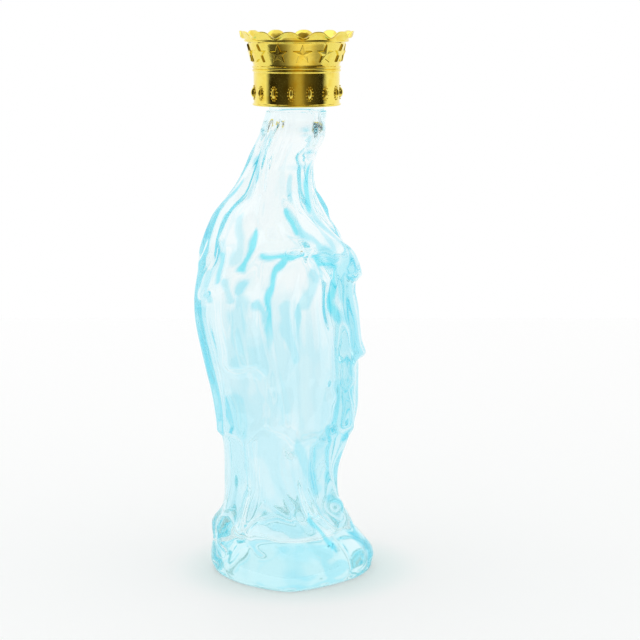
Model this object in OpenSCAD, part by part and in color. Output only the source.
// Holy water bottle: a blown glass figure in veil and mantle, closed by a gilt crown on a screw cap.
// Millimetres, +Z up. The origin is where the neck's axis meets the table; the figure faces -Y.

/* [Base] */
// Width of the rocky base
base_w = 45.6; // [43:0.2:50]
// Depth of the rocky base, front to back
base_d = 44.4; // [42:0.2:48]
// Height of the rocky base at the hem
base_h = 13; // [11:0.5:15]
// Distance of the base's centre behind the neck's axis
base_set = 2; // [0:0.5:3]

/* [Figure] */
// Width of the dress at the hem
hem_w = 31; // [30:0.2:35]
// Depth of the dress at the hem
hem_d = 28.2; // [27.8:0.2:32]
// Distance of the dress's centre behind the neck's axis
hem_set = 7; // [5:0.2:8]
// Height of the mantle's lower edge
drape_z = 40; // [36:0.5:44]
// Width at the mantle's lower edge
drape_w = 38.4; // [37:0.2:43]
// Depth at the mantle's lower edge
drape_d = 32.2; // [31:0.2:37]
// Distance of the mantle's lower edge behind the neck's axis
drape_set = 4.2; // [3:0.2:7]
// Height of the elbows
elbow_z = 77; // [73:0.5:81]
// Width over the elbows
elbow_w = 46.4; // [44:0.2:51]
// Depth at the elbows
elbow_d = 37.8; // [36:0.2:42]
// Distance of the elbows' section behind the neck's axis
elbow_set = 9; // [7:0.2:10]
// Height of the shoulders
shoulder_z = 102; // [100:0.5:104]
// Width of the shoulders
shoulder_w = 33; // [32:0.2:37]
// Depth of the shoulders
shoulder_d = 24.8; // [24.2:0.2:28]
// Distance of the shoulders behind the neck's axis
shoulder_set = 9.2; // [8:0.2:9.6]
// Height of the throat
throat_z = 114; // [112.5:0.5:115.5]
// Width of veil and throat
throat_w = 19.2; // [18.6:0.2:21]
// Depth of veil and throat
throat_d = 19.2; // [18.8:0.2:21]
// Distance of the throat behind the neck's axis
throat_set = 6.6; // [5.6:0.2:6.8]
// Height of the middle of the face
head_z = 125.5; // [124.5:0.5:127]
// Width of the veiled head
head_w = 18.6; // [18:0.2:21]
// Depth of the veiled head
head_d = 19; // [18.2:0.2:21]
// Distance of the head behind the neck's axis
head_set = 1; // [0:0.2:2]

/* [Drapery] */
// Height of a full fold of the cloth
fold_h = 2; // [1:0.1:2.2]
// How far the mantle stands off the dress in its front opening
mantle_t = 1.7; // [1:0.1:2]
// Half of the mantle's front opening, in degrees
opening_half = 33; // [28:1:36]
// Turn of the hands and the opening towards the figure's right, in degrees
front_turn = 15; // [0:1:24]
// How far the hanging sleeves stand off the mantle
sleeve_t = 1.2; // [0.6:0.1:1.4]
// How far the veil's edge stands off the face and chest
veil_t = 1.1; // [0.6:0.1:1.2]

/* [Glass] */
// Thickness of the glass where no deep groove thins it
wall = 1.8; // [1.6:0.1:2.2]
// Thickness of the glass under the cavity
floor_t = 4.5; // [4:0.5:7]

/* [Neck] */
// Height of the head's top, where the neck starts
neck_z = 132; // [131:0.5:133]
// Diameter of the neck
neck_d = 15.4; // [14.6:0.1:16]
// Height of the neck up to its lip
neck_h = 11.5; // [11:0.1:13]
// Diameter of the mouth
mouth_d = 10; // [9.6:0.1:10.4]
// Rounding of the lip
lip_r = 0.7; // [0.3:0.1:1]
// Rise of the thread in one turn
thread_pitch = 3.2; // [2.8:0.1:3.4]
// Turns of thread
thread_turns = 1.5; // [1.25:0.05:1.6]
// Height of the thread above the neck
thread_h = 1.2; // [0.9:0.1:1.3]
// Width of the thread at its foot
thread_w = 1.5; // [1.2:0.1:1.6]
// Width of the thread at its crest
thread_crest = 0.7; // [0.5:0.1:0.9]
// Distance of the thread's top end below the lip
thread_drop = 2.2; // [1.9:0.1:2.4]

/* [Screw cap] */
// Radial clearance between the neck's thread and the cap
thread_gap = 0.3; // [0.25:0.05:0.45]
// Wall of the screw cap behind its thread
cap_wall = 1.6; // [1.2:0.1:1.8]
// Thickness of the screw cap's top
cap_deck = 1.2; // [0.9:0.1:1.6]
// Thickness of the sealing wad
wad_t = 1; // [0.8:0.1:1.5]
// Gap of the wad to the lip and to the screw cap
wad_gap = 0.1; // [0.08:0.01:0.15]

/* [Crown] */
// Gap between the head's top and the crown's lower edge
crown_gap = 1.5; // [1:0.1:2]
// Wall of the crown
shell_t = 1; // [0.8:0.1:1.3]
// Gap between the screw cap and the crown round it
shell_fit = 0.15; // [0.12:0.01:0.2]
// Thickness of the floor of the crown's open cup
cup_t = 1.2; // [0.9:0.1:1.5]
// Height of the gem band, from the crown's lower edge to its beads
band_h = 9.2; // [8.6:0.1:9.6]
// Diameter of each bead moulding
bead_d = 0.9; // [0.6:0.1:1.2]
// Height of the star band
star_band_h = 6.6; // [6:0.1:8]
// Diameter at the top of the star band
star_band_d = 27.4; // [26.4:0.2:29]
// Height of the lobed rim
rim_h = 2.9; // [2.6:0.1:3.5]
// Diameter of the lobed rim
rim_d = 31.8; // [31:0.2:33]
// Number of lobes, and of stars
lobe_count = 12; // [10:2:14]
// Turn of the lobes and stars from the figure's front, in degrees
crown_turn = -7; // [-15:0.5:15]
// Depth of the valleys between the lobes
lobe_depth = 1.7; // [1.2:0.1:2]
// Radius of a star
star_r = 2.8; // [2.2:0.1:3]
// How far a star stands off the band
star_relief = 0.5; // [0.3:0.05:0.8]
// Number of gems
gem_count = 15; // [12:1:18]
// Turn of the gems from the figure's front, in degrees
gem_turn = -3.4; // [-12:0.2:12]
// Height of a gem
gem_h = 4; // [3:0.1:4.6]
// Width of a gem
gem_w = 1.9; // [1.4:0.1:2.2]
// Height of the gems' middle above the crown's lower edge
gem_z = 3.6; // [3:0.1:4.2]

/* [Hidden] */
$fn = 96;
around = 72;
// Overlap of pieces of one casting
weld = 0.4;
// Ledge of the head's top round the neck
head_ledge = 0.4;
// Depth of a star's foot in the crown
star_bury = 0.6;
// Depth of a gem's axis in the crown
gem_bury = 0.3;
// Width of the rim's foot round the star band
rim_foot = 0.9;
// Exponent of the figure's ovals, a little squarer than an ellipse's
oval_power = 2.2;
// Height of the floor's rounded edge in the cavity
floor_edge = 4;

// Heights
lip_z = neck_z + neck_h;
wad_z = lip_z + wad_gap;
deck_z = wad_z + wad_t + wad_gap;
crown_z = neck_z + crown_gap;
band_top = crown_z + band_h;
star_z = band_top + 2 * bead_d;
rim_z = star_z + star_band_h;
crown_top = rim_z + rim_h;
crown_floor = deck_z + cap_deck;

// Radii of neck, thread and caps
neck_r = neck_d / 2;
mouth_r = mouth_d / 2;
crest_r = neck_r + thread_h;
cap_root_r = crest_r + thread_gap;
cap_crest_r = neck_r + thread_gap;
cap_r = cap_root_r + cap_wall;
shell_r = cap_r + shell_fit;
band_r = shell_r + shell_t;
thread_top = lip_z - thread_drop;
thread_rise = thread_pitch * thread_turns;
thread_foot = thread_top - thread_rise;
cap_thread_top = thread_top + thread_pitch / 2 - wad_gap;

function ramp(a, b, x) = let (u = min(1, max(0, (x - a) / (b - a)))) u * u * (3 - 2 * u);
function bump(x, w) = exp(-pow(x / w, 2));
function mix(a, b, u) = a + (b - a) * u;

// Value of a column of a table at height z, on a smooth curve through its rows
function slope(rows, i, c) = let (a = max(0, i - 1), b = min(len(rows) - 1, i + 1))
    (rows[b][c] - rows[a][c]) / (rows[b][0] - rows[a][0]);
function curve(rows, z, c) =
    z <= rows[0][0] ? rows[0][c] :
    z >= rows[len(rows) - 1][0] ? rows[len(rows) - 1][c] :
    let (i = max([for (k = [0:len(rows) - 2]) if (rows[k][0] <= z) k]),
         d = rows[i + 1][0] - rows[i][0], u = (z - rows[i][0]) / d)
    rows[i][c] * (1 + 2 * u) * pow(1 - u, 2) + d * slope(rows, i, c) * u * pow(1 - u, 2) +
    rows[i + 1][c] * u * u * (3 - 2 * u) + d * slope(rows, i + 1, c) * u * u * (u - 1);

// Heights of the sleeves' ends and of the opening's arch
sleeve_z = mix(drape_z, elbow_z, 0.6);
arch_z = mix(elbow_z, shoulder_z, 0.64);

// Sections of the figure: height, half-width, half-depth, distance behind the neck's axis
sections = [
    [0, base_w / 2 - 0.6, base_d / 2 - 0.6, base_set],
    [4, base_w / 2, base_d / 2, base_set],
    [base_h - 4, base_w / 2 - 1, base_d / 2 - 1, base_set + 0.6],
    [base_h, mix(hem_w, base_w, 0.5) / 2, mix(hem_d, base_d, 0.5) / 2, mix(base_set, hem_set, 0.65)],
    [base_h + 4.5, hem_w / 2 + 0.5, hem_d / 2 + 0.6, hem_set],
    [drape_z - 12, hem_w / 2, hem_d / 2, hem_set],
    [drape_z, drape_w / 2 - 0.6, drape_d / 2 - 0.5, drape_set + 0.3],
    [drape_z + 8, mix(drape_w, elbow_w, 0.25) / 2, mix(drape_d, elbow_d, 0.25) / 2, drape_set],
    [sleeve_z, mix(drape_w, elbow_w, 0.75) / 2, mix(drape_d, elbow_d, 0.75) / 2,
        mix(drape_set, elbow_set, 0.5)],
    [elbow_z, elbow_w / 2, elbow_d / 2, elbow_set],
    [mix(elbow_z, shoulder_z, 0.6), mix(elbow_w, shoulder_w, 0.26) / 2, mix(elbow_d, shoulder_d, 0.3) / 2,
        elbow_set - 1.6],
    [shoulder_z, shoulder_w / 2, shoulder_d / 2, shoulder_set],
    [mix(shoulder_z, throat_z, 0.5), mix(shoulder_w, throat_w, 0.7) / 2, mix(shoulder_d, throat_d, 0.6) / 2,
        mix(shoulder_set, throat_set, 0.4)],
    [throat_z, throat_w / 2, throat_d / 2, throat_set],
    [mix(throat_z, head_z, 0.5), mix(throat_w, head_w, 0.9) / 2 - 0.35, mix(throat_d, head_d, 0.5) / 2 - 0.4,
        mix(throat_set, head_set, 0.42)],
    [head_z, head_w / 2, head_d / 2, head_set],
    [neck_z, neck_r + head_ledge, neck_r + head_ledge, 0]];

// Radius of an oval section, in the direction t degrees from the front
function oval(a, b, t) =
    pow(pow(abs(sin(t)) / a, oval_power) + pow(abs(cos(t)) / b, oval_power), -1 / oval_power);

// Folds of the cloth: a share of a full fold's height, or of its depth below 0, the widths of the left and
// the right side, and a path of angles and shares of the way up between two heights. Angles are from the
// middle of the mantle's opening, or from the figure's front on veil and back.
skin_arc = 0.36;
steep = 1.4;
mid = 2;
soft = 3.3;
broad = 4.4;
edge = opening_half;
dress_folds = [
    [0.8, steep, soft, [[-78, 1.04], [-81, 0.44], [-89, 0.04]]],
    [1, steep, soft, [[-59, 1.04], [-55, 0.48], [-69, -0.04]]],
    [0.75, steep, soft, [[-46, 1.07], [-39, 0.63], [-21, 0.26]]],
    [1.1, steep, soft, [[-23, 0.8], [-5, 0.22], [5, -0.11]]],
    [0.95, steep, soft, [[15, 1.07], [21, 0.78], [45, 0.3]]],
    [0.8, steep, soft, [[48, 1], [58, 0.5], [66, 0.05]]],
    [0.75, steep, soft, [[70, 1], [74, 0.5], [84, 0.02]]],
    [-0.45, steep, steep, [[-68, 1], [-66, 0.45], [-78, 0.1]]],
    [-0.45, steep, steep, [[0, 0.9], [8, 0.5], [24, 0.15]]],
    [-0.4, steep, steep, [[60, 1], [66, 0.5], [75, 0.1]]]];
opening_folds = [
    [-0.8, steep, steep, [[10 - edge, 0.83], [2 - edge, 0.79], [-1 - edge, 0.71], [-1 - edge, 0.56],
        [-4 - edge, 0.3], [-edge, 0.1]]],
    [-0.8, steep, steep, [[edge - 25, 0.84], [edge - 16, 0.81], [edge - 1, 0.775], [edge + 2, 0.74],
        [edge, 0.63], [edge + 2, 0.53]]],
    [-0.6, steep, steep, [[-43, 0.65], [-35, 0.55]]],
    [-0.6, steep, mid, [[-7, 0.62], [-14, 0.2], [-18, 0.06]]],
    [-0.6, steep, mid, [[-49, 0.33], [-45, 0.21], [-49, 0.1]]],
    [0.45, steep, steep, [[-30, 0.61], [-30, 0.42], [-29, 0.3], [-25, 0.35], [-22, 0.43], [-21, 0.64]]],
    [0.4, steep, steep, [[-14, 0.78], [-17, 0.4]]],
    [0.45, steep, mid, [[0, 0.8], [-3, 0.3]]],
    [0.4, steep, steep, [[8, 0.77], [7, 0.25]]],
    [0.45, steep, mid, [[17, 0.74], [16, 0.3]]],
    [0.4, steep, steep, [[26, 0.7], [24, 0.2]]]];
cascade_folds = [
    [1, broad, mid, [[37, 0.49], [42, 0.26]]],
    [0.9, broad, mid, [[36, 0.19], [43, 0]]],
    [-0.6, steep, mid, [[33, 0.225], [52, 0.2]]],
    [0.75, steep, soft, [[-45, 0.5], [-42, 0.28]]],
    [0.65, steep, soft, [[-42, 0.18], [-46, 0.02]]]];
arm_folds = [
    [1.3, broad, steep, [[-73, 0.71], [-42, 0.885], [-15, 0.885]]],
    [1.2, broad, steep, [[-3, 0.9], [17, 0.855], [35, 0.805], [60, 0.73]]],
    [-0.8, steep, steep, [[-41, 0.85], [-23, 0.843], [-9, 0.85]]],
    [0.7, steep, soft, [[-4, 1.05], [13, 0.985], [25, 0.92], [51, 0.85]]],
    [1.4, soft, soft, [[-7, 0.89], [-10, 1.03]]],
    [-0.8, steep, steep, [[-13.5, 1.035], [-10.5, 0.99], [-9.5, 0.95]]],
    [-0.9, steep, mid, [[-47, 0.95], [-50, 0.88], [-55, 0.79]]],
    [-0.6, mid, steep, [[62, 0.93], [66, 0.86], [70, 0.77]]]];
sleeve_folds = [
    [-0.7, mid, steep, [[78, 0.85], [72, 0.74]]],
    [-0.55, mid, steep, [[86, 0.77], [78, 0.64]]],
    [-0.5, mid, steep, [[65, 0.74], [60, 0.65]]],
    [0.45, steep, steep, [[63, 0.71], [62, 0.37]]],
    [0.45, steep, steep, [[50, 0.71], [51, 0.37]]],
    [0.5, steep, steep, [[63, 0.36], [45, 0.36]]],
    [0.8, steep, soft, [[80, 0.65], [77, 0.32], [82, 0.03]]],
    [0.7, steep, soft, [[95, 0.8], [93, 0.32], [97, 0]]],
    [-0.55, steep, mid, [[87, 0.6], [85, 0.3], [90, 0.05]]]];
veil_folds = [
    [0.6, steep, mid, [[87, 0.94], [68, 0.64], [62, 0.43], [58, 0.08]]],
    [-0.5, steep, mid, [[104, 0.95], [96, 0.6], [88, 0.25]]],
    [0.65, steep, soft, [[107, 0.43], [112, 0.13], [118, -0.4]]],
    [0.55, steep, soft, [[130, 0.7], [128, 0.2], [132, -0.3]]]];
back_folds = [for (k = [0:7]) let (a = 117 + 18 * k) [0.5 + 0.15 * sin(97 * k), steep, soft,
    [[a - 3 * sin(172 * k), 0.92], [a, 0.6], [a + 4 * sin(115 * k), 0.3],
        [a + 6 * sin(115 * k + 57), 0.02]]]];
function wrapped(t) = t > 180 ? t - 360 : t < -180 ? t + 360 : t;
function fold_piece(x, z, a, b, left, right) =
    let (d = [(b[0] - a[0]) * skin_arc, b[1] - a[1]], p = [wrapped(x - a[0]) * skin_arc, z - a[1]],
         u = min(1, max(0, p * d / (d * d))), side = (d[0] * p[1] - d[1] * p[0]) / norm(d))
    bump(norm(p - u * d), mix(right, left, ramp(-0.4, 0.4, side)));
function fold(x, z, low, high, row) = let (path = [for (p = row[3]) [p[0], mix(low, high, p[1])]])
    row[0] * max([for (i = [0:len(path) - 2]) fold_piece(x, z, path[i], path[i + 1], row[1], row[2])]);
function folds(x, z, low, high, rows) =
    fold_h * [for (row = rows) 1] * [for (row = rows) fold(x, z, low, high, row)];

// Reliefs: each adds to the radius at height z and t degrees from the figure's front.
// q is the angle from the middle of the opening, s and a are q and t without their signs.
function hem_at(q) = drape_z + 4.5 * bump(q + 45, 13) - 0.6 * bump(q + 41, 5) + 2 * bump(q + 29, 7) +
    1.5 * bump(q - 30, 14) + 1.2 * bump(q + 80, 16) - 2.5 * bump(q - 68, 14) + 0.5 * cos(8 * q);
function dress(q, z) = z > drape_z + 8 || z < base_h - 3 ? 0 :
    (1 - ramp(hem_at(q) - 1.4, hem_at(q) + 0.5, z)) * ramp(base_h - 3, base_h + 3, z) *
    folds(q, z, base_h, drape_z, dress_folds);
function hem(q, z) = let (h = hem_at(q)) (1 - 0.7 * ramp(70, 110, abs(q))) * (0.4 * bump(z - h - 1.4, 1.6) +
    0.6 * ramp(h - 1.8, h + 0.8, z) * (1 - ramp(h + 4, h + 15, z)));
function arch_half(z) = let (u = min(1, max(0, (z - elbow_z - 4) / (arch_z - elbow_z - 4))))
    opening_half * sqrt(max(0.002, 1 - u * u));
function opening(q, s, z) = let (w = arch_half(z))
    ramp(hem_at(q) - 1, hem_at(q) + 2.5, z) * (1 - ramp(arch_z - 1.5, arch_z + 0.8, z)) *
    (0.6 * bump(s - w - 4, 3.5) - mantle_t * (1 - ramp(w - 3, w + 2.5, s)));
function sleeve(s, z) = let (side = s - opening_half, foot = sleeve_z + 1.2 * sin(9 * side))
    sleeve_t * ramp(8, 12, side) * (1 - ramp(30, 42, side)) * ramp(foot - 1.2, foot + 0.5, z) *
    (1 - ramp(elbow_z + 8, elbow_z + 20, z));
function mantle(q, s, z) = z < drape_z - 6 ? 0 : ramp(hem_at(q) - 1, hem_at(q) + 1.5, z) *
    (folds(q, z, drape_z, shoulder_z, concat(opening_folds, cascade_folds)) +
    folds(s, z, drape_z, shoulder_z, sleeve_folds));
function arms(q, z) = z < elbow_z ? 0 : folds(q, z, drape_z, shoulder_z, arm_folds);
function veil_edge(z) = mix(56, 88, ramp(shoulder_z + 3, head_z - 6, z)) + 2.5 * sin(z * 14);
function veil_step(a, z) = veil_t * (ramp(veil_edge(z) - 4, veil_edge(z) + 4, a) - 1) *
    ramp(shoulder_z - 6, shoulder_z + 4, z) * (1 - ramp(neck_z - 4, neck_z - 0.5, z));
function veil(a, z) = z < elbow_z ? 0 : veil_step(a, z) + folds(a, z, shoulder_z, head_z, veil_folds);
function back(t, z) = abs(t) < 90 ? 0 : folds(t, z, base_h, throat_z, back_folds);
function face(t, z) = let (chin = throat_z + 3.6, h = neck_z - chin) (1 - ramp(neck_z - 4, neck_z - 0.5, z)) *
    (bump(t, 42) * (1.3 * bump(z - chin - 1.2, 2.2) + 0.5 * bump(z - chin - 0.62 * h, 3)) +
    0.8 * bump(t, 9) * bump(z - chin - 0.42 * h, 1.7));

// Boulders of the base: angle from the front, height as a share of the base's, half-widths and relief
stones = [
    [-86, 0.45, 15, 5.5, 1.0], [-64, 0.95, 10, 3.0, 1.5], [-57, 0.3, 13, 4.5, 0.7],
    [-34, 0.35, 12, 4.5, 0.8], [-44, 1.15, 16, 2.2, 1.1], [-18, 0.9, 10, 2.6, 1.2],
    [-10, 0.4, 13, 4.6, 1.0], [14, 0.45, 12, 4.4, 1.1], [22, 1.38, 9, 3.0, 2.4],
    [34, 1.0, 11, 3.2, 1.2], [42, 0.5, 13, 5.0, 0.8], [66, 0.8, 13, 3.6, 0.8],
    [74, 0.35, 14, 4.4, 0.9], [98, 0.6, 14, 5.2, 1.2], [126, 0.4, 15, 5.0, 1.0],
    [120, 1.0, 12, 3.2, 1.2], [152, 0.55, 15, 5.4, 1.2], [180, 0.35, 15, 4.6, 0.9],
    [178, 0.95, 13, 3.4, 1.2], [-152, 0.5, 15, 5.2, 1.2], [-124, 0.4, 14, 5.0, 1.0],
    [-128, 1.0, 12, 3.2, 1.2], [-104, 0.85, 12, 4.0, 1.4]];
function boulder(t, z, b) = let (d = pow(wrapped(t - b[0]) / b[2], 2) + pow((z - b[1] * base_h) / b[3], 2))
    b[4] * b[4] * exp(-1.3 * pow(d, 1.4));
function boulders(t, z) = sqrt([for (b = stones) 1] * [for (b = stones) boulder(t, z, b)]);
function block(t, z) = 2.6 * bump(wrapped(t + 48), 32) * (1 - 0.7 * ramp(4, base_h, z)) +
    1.4 * bump(wrapped(t - 130), 40) * (1 - ramp(4, base_h, z)) + 0.6 * bump(t + 46, 7) -
    0.35 * bump(t + 68, 12) - 0.35 * bump(t + 24, 12) - 2 * bump(t - 58, 24) * ramp(4, 10, z);
function rocks(t, z) = z > base_h + 9 ? 0 : let (low = 1 - ramp(base_h - 2, base_h + 3, z))
    low * block(t, z) + (boulders(t, z) - 0.6 * low) * ramp(0, 2.5, z) *
    (1 - ramp(base_h + 7, base_h + 9, z));

function relief(t, q, z) = let (s = abs(q), a = abs(t)) dress(q, z) + hem(q, z) + opening(q, s, z) +
    sleeve(s, z) + mantle(q, s, z) + arms(q, z) + veil(a, z) + back(t, z) + face(t, z) + rocks(t, z);
function section_r(t, z, inset) = oval(curve(sections, z, 1) - inset, curve(sections, z, 2) - inset, t);
function point_at(r, t, z) = [r * sin(t), curve(sections, z, 3) - r * cos(t), z];
function figure_point(t, z) = point_at(section_r(t, z, 0) + relief(t, wrapped(t + front_turn), z), t, z);

// A closed skin over rings of points, each ring with the same number of points, from the lowest up
module skin(rings) {
    n = len(rings[0]);
    m = len(rings);
    sides = [for (j = [0:m - 2], i = [0:n - 1]) let (a = j * n + i, b = j * n + (i + 1) % n)
        each [[a, a + n, b], [b, a + n, b + n]]];
    polyhedron([for (ring = rings) each ring],
        concat(sides, [[for (i = [0:n - 1]) i]], [[for (i = [n - 1:-1:0]) (m - 1) * n + i]]));
}

function turns_of(count) = [for (i = [0:count - 1]) -180 + i * 360 / count];

level_count = 60;
figure_levels = concat([0, 1], [for (i = [0:level_count]) mix(2.6, neck_z, i / level_count)]);

module figure() {
    skin([for (z = figure_levels) [for (t = turns_of(around)) figure_point(t, z)]]);
}

// Cavity: the plain section, drawn in by the wall and by the reliefs that cut into it
cavity_round = 36;
// Height where the bore starts, and how much narrower the cavity's top is than the bore
bore_z = neck_z - 4;
bore_step = 0.8;
function drawn_face(t, z) = 0.6 * veil_t * (1 - ramp(70, 100, abs(t))) *
    ramp(throat_z - 1, throat_z + 5, z) * (1 - ramp(head_z - 1, head_z + 2.5, z));
function drawn_opening(q, z) = 0.75 * mantle_t * (1 - ramp(opening_half, opening_half + 26, abs(q))) *
    ramp(drape_z - 8, drape_z + 1, z) * (1 - ramp(arch_z - 1, arch_z + 5, z));
function drawn_base(z) = 2.4 * (1 - ramp(base_h, base_h + 6, z));
function drawn_mantle(t, z) = 0.6 * (1 - ramp(90, 130, abs(t))) * ramp(drape_z - 6, drape_z, z) *
    (1 - ramp(shoulder_z - 8, shoulder_z, z));
function drawn_in(t, z) = 0.2 + drawn_base(z) + drawn_mantle(t, z) + drawn_face(t, z) +
    drawn_opening(wrapped(t + front_turn), z);
function cavity_point(t, z, share) = point_at(share * (section_r(t, z, wall) - drawn_in(t, z)), t, z);
function cavity_ring(z, share) = [for (t = turns_of(cavity_round)) cavity_point(t, z, share)];
function round_ring(r, z) = [for (t = turns_of(cavity_round)) [r * sin(t), -r * cos(t), z]];
cavity_levels = concat([for (z = [floor_t + floor_edge:3:base_h + 8]) z],
    [for (i = [0:8]) mix(base_h + 11, elbow_z, i / 8)], [for (i = [1:15]) mix(elbow_z, bore_z, i / 15)]);

module cavity() {
    floor_rings = [for (e = [[0, 0.7], [0.25, 0.88], [0.6, 0.97]])
        cavity_ring(floor_t + floor_edge * e[0], e[1])];
    skin(concat(floor_rings, [for (z = cavity_levels) cavity_ring(z, 1)],
        [round_ring(mouth_r - bore_step, bore_z + 2.5)]));
    translate([0, 0, bore_z]) cylinder(r = mouth_r, h = lip_z - bore_z + 1);
}

// One helical ridge from foot to crest, run out at both ends
thread_step = 15;
run_out = 40;
function thread_section(foot, crest) = [[foot, -thread_w / 2], [crest, -thread_crest / 2],
    [crest, thread_crest / 2], [foot, thread_w / 2]];
function thread_ring(a, foot, crest, z) = [for (p = thread_section(foot, crest))
    [p[0] * cos(a), p[0] * sin(a), z + p[1]]];
module thread(foot, crest, bury, low) {
    last = thread_turns * 360;
    count = round(last / thread_step);
    skin([for (i = [0:count])
        let (a = i * last / count, up = ramp(0, run_out, a) * (1 - ramp(last - run_out, last, a)))
        thread_ring(a, foot + bury, mix(foot + bury / 4, crest, up), low + thread_rise * a / last)]);
}

module neck() {
    rotate_extrude()
        difference() {
            translate([0, neck_z - weld]) square([neck_r, neck_h + weld]);
            translate([neck_r - lip_r, lip_z - lip_r]) difference() {
                square(lip_r + 1);
                circle(lip_r);
            }
        }
    thread(neck_r, crest_r, -weld, thread_foot);
}

module glass_bottle() {
    color("lightcyan", 0.5) difference() {
        union() {
            figure();
            neck();
        }
        cavity();
    }
}

module sealing_wad() {
    color("gainsboro") translate([0, 0, wad_z]) cylinder(r = neck_r, h = wad_t);
}

module screw_cap() {
    color("white") {
        difference() {
            translate([0, 0, crown_z]) cylinder(r = cap_r, h = deck_z + cap_deck - crown_z);
            translate([0, 0, crown_z - 1]) cylinder(r = cap_root_r, h = deck_z - crown_z + 1);
        }
        thread(cap_root_r, cap_crest_r, weld, cap_thread_top - thread_rise);
    }
}

module star(r) {
    polygon([for (i = [0:9]) let (q = i % 2 == 0 ? r : r * 0.45) [q * sin(i * 36), q * cos(i * 36)]]);
}

// Turn of the crown's mould seam, which lies between two stars
seam_turn = 180 / lobe_count - 90;
star_lean = atan((star_band_d / 2 - band_r) / star_band_h);
function flare_r(z) = band_r + (star_band_d / 2 - band_r) * (z - star_z) / star_band_h;

module crown_profile() {
    cup_z = crown_floor + cup_t;
    polygon([[shell_r, crown_z], [band_r, crown_z], [band_r, star_z], [star_band_d / 2, rim_z],
        [star_band_d / 2 + rim_foot, rim_z + 0.2], [rim_d / 2, crown_top], [rim_d / 2 - shell_t, crown_top],
        [star_band_d / 2 - shell_t, rim_z], [flare_r(cup_z) - shell_t, cup_z], [0, cup_z], [0, crown_floor],
        [shell_r, crown_floor]]);
    for (k = [0:1]) translate([band_r - 0.1, band_top + bead_d * (0.9 * k + 0.5)]) circle(d = bead_d);
}

module crown_shell() {
    color("gold") rotate([0, 0, crown_turn]) difference() {
        union() {
            rotate([0, 0, seam_turn]) rotate_extrude() crown_profile();
            for (i = [0:lobe_count - 1]) rotate([0, 0, i * 360 / lobe_count])
                translate([0, -(band_r + star_band_d / 2) / 2 + star_bury, (star_z + rim_z) / 2])
                    rotate([90 + star_lean, 0, 0]) linear_extrude(star_relief + star_bury) star(star_r);
            for (i = [0:gem_count - 1]) rotate([0, 0, gem_turn - crown_turn + i * 360 / gem_count])
                translate([0, gem_bury - band_r, crown_z + gem_z]) gem();
        }
        for (i = [0:lobe_count / 2 - 1]) rotate([0, 0, i * 360 / lobe_count])
            translate([0, 0, crown_top + lobe_depth]) rotate([90, 0, 0])
                cylinder(r = 2 * lobe_depth, h = rim_d + 2, center = true);
    }
}

// A gem: a spindle that stands half out of the band
module gem() {
    r = (gem_h * gem_h / gem_w + gem_w) / 4;
    rotate_extrude() intersection() {
        translate([gem_w / 2 - r, 0]) circle(r);
        translate([0, -gem_h / 2]) square([gem_w, gem_h]);
    }
}

glass_bottle();
sealing_wad();
screw_cap();
crown_shell();
